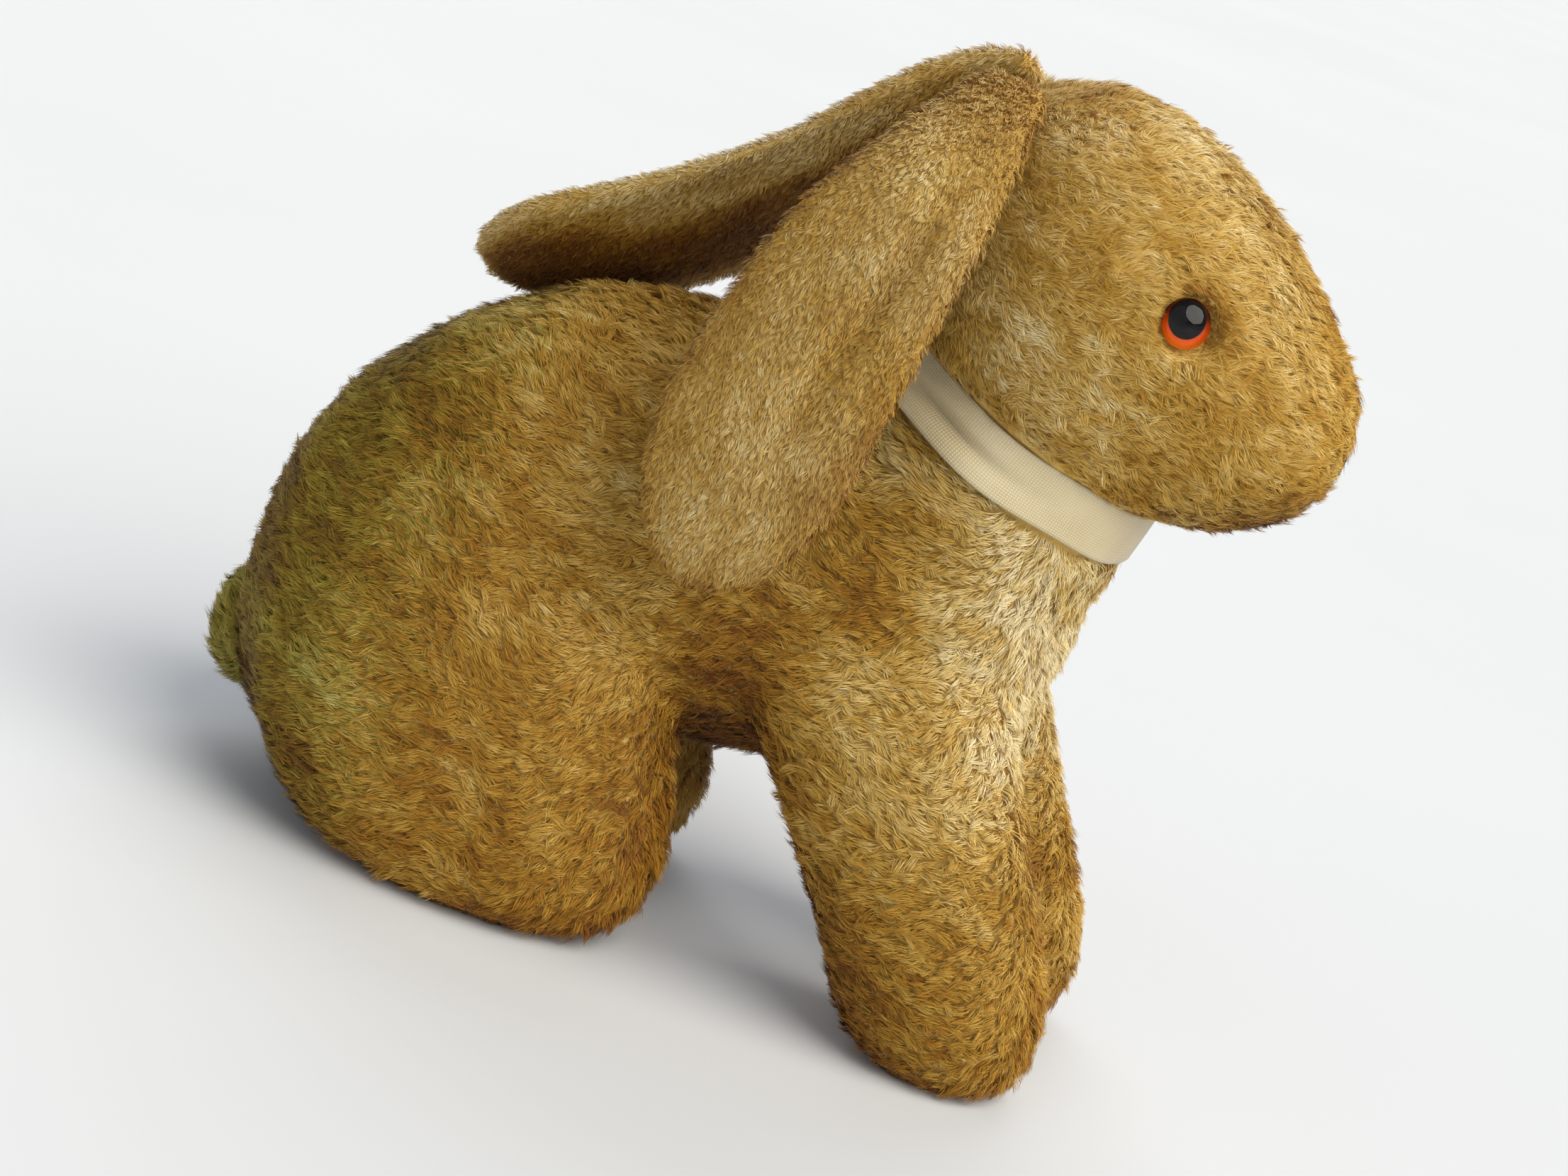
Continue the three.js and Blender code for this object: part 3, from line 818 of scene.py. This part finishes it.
def head_tone(roots, ups):
    """Colour number: painted highlight on the pile that faces upwards, painted shade on the pile that faces
    downwards, a painted shadow round the eyes, and darker on the snout.
    """
    # painted shade on the pile that faces downwards
    under = np.clip(-ups[:, 2], 0, 1)
    # painted highlight on the pile that faces upwards
    top_highlight = np.clip(ups[:, 2], 0, 1)
    # painted shadow in each eye socket, centred a little above and in front of the eye
    socket_shadow_centres = [np.array(place) + (1.5 * MM, 0, 1.8 * MM) for place in EYES.values()]
    socket_shadow = sum(np.exp(-(np.linalg.norm(roots - shadow_centre, axis=1) / (7.5 * MM)) ** 4) for shadow_centre in socket_shadow_centres)
    snout = rising(roots[:, 0], 74 * MM, 18 * MM)
    return 2.3 - 1.0 * top_highlight + 1.0 * under + 2.8 * socket_shadow + 0.7 * snout + mottled(roots, 7, HEAD_NAP)


def never(roots, ups):
    return np.zeros(len(roots))


trunk_coat = Coat(11, trunk_nap, trunk_tone, trunk_faded, trim=trunk_trim)
head_coat = Coat(21, steady(HEAD_NAP), head_tone, never, trim=head_trim, length=3.2 * MM, tuft=1.8 * MM)
grow("body_pile", body_skin, trunk_coat, "trunk", WARM_PILE + OLIVE_PILE)
grow("head_pile", head_skin, head_coat, "head", WARM_PILE)


# ---- ears ----
# From each ear's hinge, a way towards its root, passed on with the ear's pile
EAR_ROOTS = {"left": Vector((-10, 2, -6)) * MM, "right": Vector((-1, -12, -1)) * MM}


def ear_flow(side, hinge):
    """The way from the hinge to the tip. The left ear lies back, and the right one hangs."""
    low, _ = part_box(f"ear_{side}_outer")
    centre = middle(f"ear_{side}_outer")
    end = Vector((low.x if side == "left" else centre.x, centre.y, low.z))
    return np.array((end - hinge).normalized())


def ear_dents(skin, side, hinge, flow):
    """How deep a winding hollow is along the middle of the ear's face towards the toy's right."""
    points, ups = points_of(skin.data) - np.array(hinge), normals_of(skin.data)
    reach = points @ flow
    share = reach / reach.max()
    across = 2 if side == "left" else 0
    aside = points[:, across] - reach * flow[across]
    sway = 1.5 * MM + 2.5 * MM * np.sin(share * 7)
    hollow = np.exp(-((aside - sway) / (3.2 * MM)) ** 2)
    return 1.5 * MM * hollow * np.exp(-((share - 0.45) / 0.22) ** 2) * np.clip(-ups[:, 1] * 2, 0, 1)


def make_ear(side, seed):
    nodes = (f"ear_{side}_outer", f"ear_{side}_inner")
    hinge = Vector(joints[f"ear_{side}_lift"]["pos_m"])
    skin = keep_outside(remeshed(joined(f"ear_{side}_skin", nodes), 1.3 * MM))
    relax(skin, 16)
    flow = ear_flow(side, hinge)
    drawn_in(skin, 0.3 * MM + ear_dents(skin, side, hinge, flow))
    covered(skin, nodes)
    reach = (hinge, hinge + EAR_ROOTS[side])
    edges = node_trees(nodes)

    def tone(roots, ups):
        gaps = [abs(edges[0].find_nearest(p)[3] - edges[1].find_nearest(p)[3]) for p in roots]
        rim = rising(-np.array(gaps), -3 * MM, 1.5 * MM)
        if side == "left":
            # left ear: painted shade on its downward face, kept off its edges, which are a little paler as
            # painted highlight on the lit rim
            own = -0.2 * rim + 5.5 * np.clip(-ups[:, 2], 0, 1) * (1 - rim)
        else:
            # right ear: darker along its edges, and painted shade on its downward face
            own = 1.3 * rim + np.clip(-ups[:, 2], 0, 1)
        return 1.9 + own + 0.8 * mottled(roots, seed, flow)

    def faded(roots, ups):
        return np.clip(field(roots, 20 * MM, seed + 9) * 1.6 - 0.2, 0, 1)

    coat = Coat(seed, steady(flow), tone, faded, per_mm2=9, length=2.2 * MM, width=0.16 * MM,
                tuft=1.3 * MM, rise=0.6, clump=0.75, wild=0.16, swirl=0.35)
    grow(f"ear_{side}_pile", skin, coat, f"ear_{side}", WARM_PILE + WORN_PILE, blend=reach)
    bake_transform(skin)


make_ear("left", 31)
make_ear("right", 41)


# ---- tail ----
def make_tail():
    skin = keep_outside(remeshed(joined("tail_skin", ("tail",)), 1.5 * MM))
    relax(skin, 8)
    covered(skin, ["tail"])
    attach(skin, "trunk")
    coat = Coat(51, trunk_nap, lambda roots, ups: 2.8 + (field(roots, 8 * MM, 7) - 0.5) * 2, trunk_faded,
                length=4.0 * MM)
    grow("tail_pile", skin, coat, "trunk", WARM_PILE + OLIVE_PILE)


make_tail()


# ---- eyes ----
def make_eye(side):
    """A glass dome over a black pupil, set a little high on an orange iris."""
    radius, height, foot, back = 5 * MM, 3.6 * MM, 0.45 * MM, -0.6 * MM
    black = 3.4 * MM
    ray = EYE_RAYS[side]
    frame_of_eye = Matrix.Translation(EYES[side]) @ ray.to_track_quat("Z", "Y").to_matrix().to_4x4()
    rise = Vector((-0.35, 0, 0.95))
    rise = (rise - ray * rise.dot(ray)).normalized() * 0.8 * MM
    dome = [(radius * math.cos(a), foot + (height - foot) * math.sin(a))
            for a in (math.pi / 2 * i / 20 for i in range(20))]
    parts = {
        "glass": ("eye_glass", glass_material(), [
            (0, 0.05 * MM), (radius - 0.15 * MM, 0.05 * MM), *dome, (0, height)]),
        "pupil": ("pupil", pupil_material(), [
            (0, 0.14 * MM), (black, 0.14 * MM), (black + 0.05 * MM, 0.24 * MM), (black, 0.34 * MM),
            (0, 0.34 * MM)]),
        "iris": ("iris", iris_material(side), [
            (0, back), (radius - 0.2 * MM, back), (radius - 0.05 * MM, -0.2 * MM),
            (radius - 0.2 * MM, 0.12 * MM), (0, 0.12 * MM)]),
    }
    for part, (slot, material, profile) in parts.items():
        piece = revolved(f"eye_{side}_{part}_fine", profile)
        piece.data.transform(frame_of_eye)
        if part == "pupil":
            piece.data.transform(Matrix.Translation(rise))
        smooth_shaded(piece.data)
        piece.data.materials.append(material)
        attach(piece, "head")
        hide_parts(f"eye_{side}_{part}")


for eye_side in EYES:
    make_eye(eye_side)


# ---- ribbon ----
def make_ribbon():
    """A loop of ribbon round the neck, its lower edge standing off the chest, with one soft fold."""
    around, across, thick = 260, 14, 0.22 * MM
    east = Vector((NECK_AXIS.z, 0, -NECK_AXIS.x))
    north = NECK_AXIS.cross(east)
    points, faces, uvs = [], [], []
    overlap = math.radians(12)
    start = math.radians(100)
    for i in range(around + 1):
        angle = start + (2 * math.pi + overlap) * i / around
        lap = 0.35 * MM * (i / around)
        throat = max(0.0, math.cos(angle)) ** 2
        near = math.exp(-((angle - math.radians(245)) / 0.5) ** 2)
        for j in range(across + 1):
            share = j / across
            height = RIBBON_LOW + (RIBBON_HIGH - RIBBON_LOW) * share
            wave = 0.5 * MM * math.sin(3 * angle + 1.2) + 0.3 * MM * math.sin(7 * angle)
            fold = near * 2.4 * MM * math.exp(-((share - 0.42) / 0.13) ** 2)
            flare = (1 - share) ** 2 * (1.0 - 1.2 * throat) * MM
            radius = neck_wall(height) + 1.2 * MM + flare + lap + wave * (1 - share * 0.6) - fold
            place = NECK + NECK_AXIS * (height + 0.35 * MM * math.sin(5 * angle)) + radius * (
                east * math.cos(angle) + north * math.sin(angle))
            points.append(place)
            uvs.append(((angle - start) * NECK_RADIUS / MM, share * (RIBBON_HIGH - RIBBON_LOW) / MM))
    row = across + 1
    for i in range(around):
        for j in range(across):
            faces.append((i * row + j, (i + 1) * row + j, (i + 1) * row + j + 1, i * row + j + 1))
    mesh = mesh_of("ribbon", points, faces)
    layer = mesh.uv_layers.new(name="weave")
    for loop in mesh.loops:
        layer.data[loop.index].uv = uvs[loop.vertex_index]
    smooth_shaded(mesh)
    ribbon = new_object("ribbon", mesh)
    solid = ribbon.modifiers.new("thickness", "SOLIDIFY")
    solid.thickness, solid.offset = thick, 0
    settle(ribbon)
    ribbon.data.materials.append(ribbon_material())
    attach(ribbon, "trunk")
    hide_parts("neck_ribbon")


make_ribbon()


# ---- stitches ----
head_tree = tree_of(head_skin.data)


def on_muzzle(y, z, lift):
    """The point of the head skin reached from in front at that place, and lifted off it."""
    hit, normal, _, _ = head_tree.ray_cast(Vector((0.2, y, z)), Vector((-1, 0, 0)))
    return None if hit is None else hit + normal * lift


def thread(name, lines, radius, node):
    """Threads laid along lines of points, as one piece. Points that missed the skin are left out."""
    curve = bpy.data.curves.new(name, "CURVE")
    curve.dimensions, curve.bevel_depth, curve.bevel_resolution = "3D", radius, 3
    curve.use_fill_caps = True
    for line in lines:
        places = [place for place in line if place]
        spline = curve.splines.new("POLY")
        spline.points.add(len(places) - 1)
        for point, place in zip(spline.points, places):
            point.co = (*place, 1)
    made = new_object(name, curve)
    graph = bpy.context.evaluated_depsgraph_get()
    mesh = bpy.data.meshes.new_from_object(made.evaluated_get(graph))
    bpy.data.objects.remove(made)
    piece = new_object(name, mesh)
    piece.data.materials.clear()
    piece.data.materials.append(thread_material())
    smooth_shaded(piece.data)
    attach(piece, "head")
    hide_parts(node)


def make_stitches():
    """Rows of satin stitch for the nose, and below it a drop of thread with an arc each way."""
    low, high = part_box("nose_stitches")
    rows = 6
    nose = []
    for i in range(rows):
        z = low.z + (high.z - low.z) * (i + 0.5) / rows
        half = (high.y - low.y) / 2 * (0.65 + 0.35 * i / (rows - 1))
        line = []
        for t in np.linspace(-1, 1, 9):
            line.append(on_muzzle(MIDDLE_Y + half * t, z, 1.1 * MM * (1 - t * t) + 0.4 * MM))
        nose.append(line)
    thread("nose_thread", nose, 0.42 * MM, "nose_stitches")
    mouth_low, mouth_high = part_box("mouth_stitches")
    drop = np.linspace(low.z, (mouth_low.z + mouth_high.z) / 2, 9)
    mouth = [[on_muzzle(MIDDLE_Y, z, 1.0 * MM) for z in drop]]
    for side in (1, -1):
        arc = []
        for t in np.linspace(0, 1, 10):
            y = MIDDLE_Y + side * t * (mouth_high.y - mouth_low.y) / 2
            arc.append(on_muzzle(y, drop[-1] - math.sin(t * math.pi / 2) * 4.5 * MM, 1.0 * MM))
        mouth.append(arc)
    thread("mouth_thread", mouth, 0.5 * MM, "mouth_stitches")


make_stitches()


# ---- what lies inside ----
INSIDE = {
    wadding_material: ("body_stuffing", "head_stuffing"),
    hardboard_material: ("neck_disc_upper", "neck_disc_lower"),
    steel_material: ("neck_washer_upper", "neck_washer_lower", "neck_pin", "eye_left_shank",
                     "eye_right_shank"),
}
for make_material, inner_nodes in INSIDE.items():
    inner_material = make_material()
    for inner_node in inner_nodes:
        frame["nodes"][inner_node].data.materials.clear()
        frame["nodes"][inner_node].data.materials.append(inner_material)
